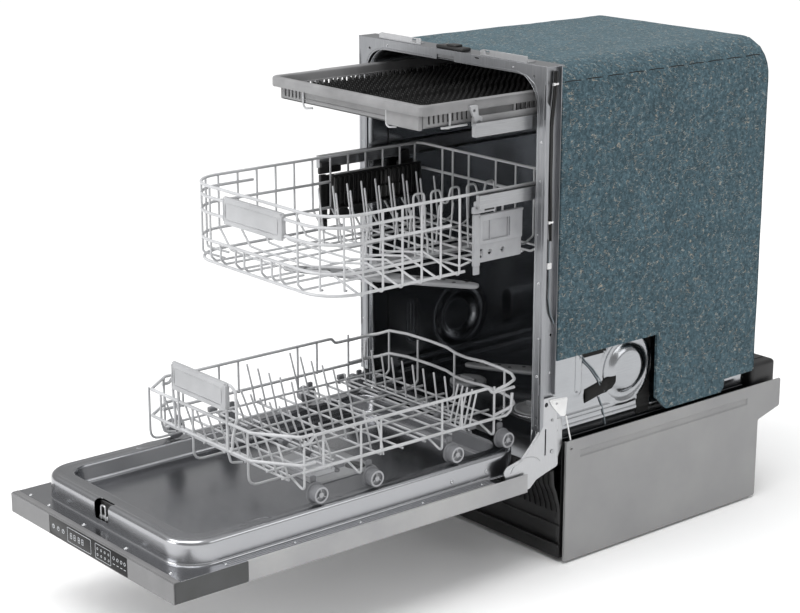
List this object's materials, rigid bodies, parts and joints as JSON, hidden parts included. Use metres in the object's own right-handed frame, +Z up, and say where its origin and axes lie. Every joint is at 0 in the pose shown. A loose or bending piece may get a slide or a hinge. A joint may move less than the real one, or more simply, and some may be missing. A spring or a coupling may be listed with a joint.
{
  "type": "built-in dishwasher",
  "caption": "Slimline built-in dishwasher with felt-wrapped steel tub, drop-down door, wheeled lower rack, height-adjustable upper rack and cutlery tray.",
  "frame": {"origin": "centre of the footprint (door open) on the floor plane under the feet", "axes": "+Z up, -Y the way the door opens and the racks come out, +X to the right of a user looking at the back of the tub"},
  "size_m": [0.448, 1.271, 0.825],
  "materials": {
    "stainless_tub": "satin",
    "stainless_frame": "satin",
    "stainless_door": "satin",
    "painted_side": "satin",
    "zinc_bracket": "satin",
    "rail_steel": "satin",
    "screw_steel": "gloss",
    "felt_blue": "matte",
    "rubber_black": "matte",
    "base_plastic": "matte",
    "inner_plastic": "matte",
    "fascia_grey": "matte",
    "display_black": "gloss",
    "rack_nylon": "satin",
    "rack_grey": "matte",
    "wheel_grey": "matte",
    "comb_black": "matte",
    "tray_grey": "matte",
    "white_nylon": "matte",
    "spring_steel": "satin",
    "cast_weight": "matte",
    "filter_steel": "satin",
    "cable_black": "matte"
  },
  "bodies": {
    "cabinet": {"tub_walls": "stainless_tub", "tub_floor": "stainless_tub", "tub_gasket": "rubber_black", "front_frame": "stainless_frame", "top_brackets": "zinc_bracket", "latch_catch": "inner_plastic", "insulation_blanket": "felt_blue", "base_housing": "base_plastic", "base_panels": "painted_side", "hinge_supports": "zinc_bracket", "door_springs": "spring_steel", "door_ropes": "white_nylon", "base_ballast": "cast_weight", "foot_sockets": "base_plastic", "sump_pot": "inner_plastic", "flat_filter": "filter_steel", "water_softener": "white_nylon", "circulation_pump": "base_plastic", "drain_pump": "base_plastic", "inlet_valve": "white_nylon", "power_inlet": "base_plastic", "spray_duct": "inner_plastic", "fixed_rails": "rail_steel", "frame_screws": "screw_steel", "wiring_harness": "cable_black", "harness_ties": "white_nylon"},
    "foot_left": {"foot_front_left": "base_plastic"},
    "foot_right": {"foot_front_right": "base_plastic"},
    "foot_back": {"foot_rear": "base_plastic"},
    "filter": {"filter_cup": "inner_plastic"},
    "softener_lid": {"softener_cap": "inner_plastic"},
    "lower_arm": {"lower_spray_arm": "inner_plastic"},
    "door": {"door_outer_panel": "painted_side", "door_liner": "stainless_door", "control_fascia": "fascia_grey", "display_window": "display_black", "door_screws": "screw_steel", "latch_strike": "zinc_bracket", "hinge_arms": "zinc_bracket", "rope_clips": "white_nylon", "dispenser_body": "inner_plastic"},
    "detergent_lid": {"dispenser_lid": "inner_plastic"},
    "lower_rack": {"lower_basket": "rack_nylon", "lower_handle": "rack_grey"},
    "tines_front": {"lower_tines_front": "rack_nylon"},
    "tines_rear": {"lower_tines_rear": "rack_nylon"},
    "wheels_1": {"lower_wheels_1": "wheel_grey"},
    "wheels_2": {"lower_wheels_2": "wheel_grey"},
    "wheels_3": {"lower_wheels_3": "wheel_grey"},
    "wheels_4": {"lower_wheels_4": "wheel_grey"},
    "upper_carriage": {"upper_rails_sliding": "rail_steel", "upper_adjusters": "rack_grey"},
    "upper_rack": {"upper_basket": "rack_nylon", "upper_handle": "rack_grey"},
    "cup_shelf": {"cup_shelf_left": "comb_black"},
    "cup_tines": {"upper_tines": "rack_nylon"},
    "upper_arm": {"upper_spray_arm": "inner_plastic"},
    "tray": {"tray_body": "tray_grey", "tray_inserts": "comb_black", "tray_rails_sliding": "rail_steel"}
  },
  "joints": [
    {"name": "door_hinge", "type": "hinge", "parent": "cabinet", "child": "door", "pos_m": [0, 0.0255, 0.154], "axis": [-1, 0, 0], "range_deg": [0, 10], "deforming": ["door_springs", "door_ropes"]},
    {"name": "dispenser_lid_hinge", "type": "hinge", "parent": "door", "child": "detergent_lid", "pos_m": [0, -0.2045, 0.1872], "axis": [-1, 0, 0], "range_deg": [0, 95]},
    {"name": "lower_rack_slide", "type": "slide", "parent": "door", "child": "lower_rack", "axis": [0, -1, 0], "range_m": [-0.5, 0]},
    {"name": "lower_tines_front_fold", "type": "hinge", "parent": "lower_rack", "child": "tines_front", "pos_m": [0, -0.3055, 0.2593], "axis": [-1, 0, 0], "range_deg": [0, 98]},
    {"name": "lower_tines_rear_fold", "type": "hinge", "parent": "lower_rack", "child": "tines_rear", "pos_m": [0, -0.0405, 0.2593], "axis": [-1, 0, 0], "range_deg": [0, 98]},
    {"name": "wheel_spin_1", "type": "hinge", "parent": "lower_rack", "child": "wheels_1", "pos_m": [0, -0.3605, 0.2299], "axis": [1, 0, 0], "continuous": true},
    {"name": "wheel_spin_2", "type": "hinge", "parent": "lower_rack", "child": "wheels_2", "pos_m": [0, -0.2565, 0.2299], "axis": [1, 0, 0], "continuous": true},
    {"name": "wheel_spin_3", "type": "hinge", "parent": "lower_rack", "child": "wheels_3", "pos_m": [0, -0.0975, 0.2299], "axis": [1, 0, 0], "continuous": true},
    {"name": "wheel_spin_4", "type": "hinge", "parent": "lower_rack", "child": "wheels_4", "pos_m": [0, 0.0075, 0.2299], "axis": [1, 0, 0], "continuous": true},
    {"name": "upper_rack_slide", "type": "slide", "parent": "cabinet", "child": "upper_carriage", "axis": [0, -1, 0], "range_m": [-0.396, 0]},
    {"name": "upper_rack_lift", "type": "slide", "parent": "upper_carriage", "child": "upper_rack", "axis": [0, 0, 1], "range_m": [0, 0.045]},
    {"name": "cup_shelf_fold", "type": "hinge", "parent": "upper_rack", "child": "cup_shelf", "pos_m": [-0.1655, 0.0495, 0.547], "axis": [0, 1, 0], "range_deg": [0, 80]},
    {"name": "upper_tines_fold", "type": "hinge", "parent": "upper_rack", "child": "cup_tines", "pos_m": [0.07, 0.0495, 0.5128], "axis": [0, 1, 0], "range_deg": [0, 80]},
    {"name": "upper_arm_spin", "type": "hinge", "parent": "upper_rack", "child": "upper_arm", "pos_m": [0, -0.0905, 0.47], "axis": [0, 0, 1], "continuous": true},
    {"name": "tray_slide", "type": "slide", "parent": "cabinet", "child": "tray", "axis": [0, -1, 0], "range_m": [-0.252, 0]},
    {"name": "lower_arm_spin", "type": "hinge", "parent": "cabinet", "child": "lower_arm", "pos_m": [0, 0.3115, 0.23], "axis": [0, 0, 1], "continuous": true},
    {"name": "filter_twist", "type": "hinge", "parent": "cabinet", "child": "filter", "pos_m": [0.072, 0.1895, 0.21], "axis": [0, 0, 1], "range_deg": [0, 45]},
    {"name": "softener_cap_turn", "type": "hinge", "parent": "cabinet", "child": "softener_lid", "pos_m": [-0.112, 0.1995, 0.21], "axis": [0, 0, 1], "range_deg": [0, 90]},
    {"name": "foot_front_left_level", "type": "slide", "parent": "cabinet", "child": "foot_left", "axis": [0, 0, -1], "range_m": [0, 0.05]},
    {"name": "foot_front_right_level", "type": "slide", "parent": "cabinet", "child": "foot_right", "axis": [0, 0, -1], "range_m": [0, 0.05]},
    {"name": "foot_rear_level", "type": "slide", "parent": "cabinet", "child": "foot_back", "axis": [0, 0, -1], "range_m": [0, 0.05]}
  ],
  "couplings": [
    {"joint": "wheel_spin_1", "follows": "lower_rack_slide", "rad_per_m": 62.5},
    {"joint": "wheel_spin_2", "follows": "lower_rack_slide", "rad_per_m": 62.5},
    {"joint": "wheel_spin_3", "follows": "lower_rack_slide", "rad_per_m": 62.5},
    {"joint": "wheel_spin_4", "follows": "lower_rack_slide", "rad_per_m": 62.5}
  ]
}
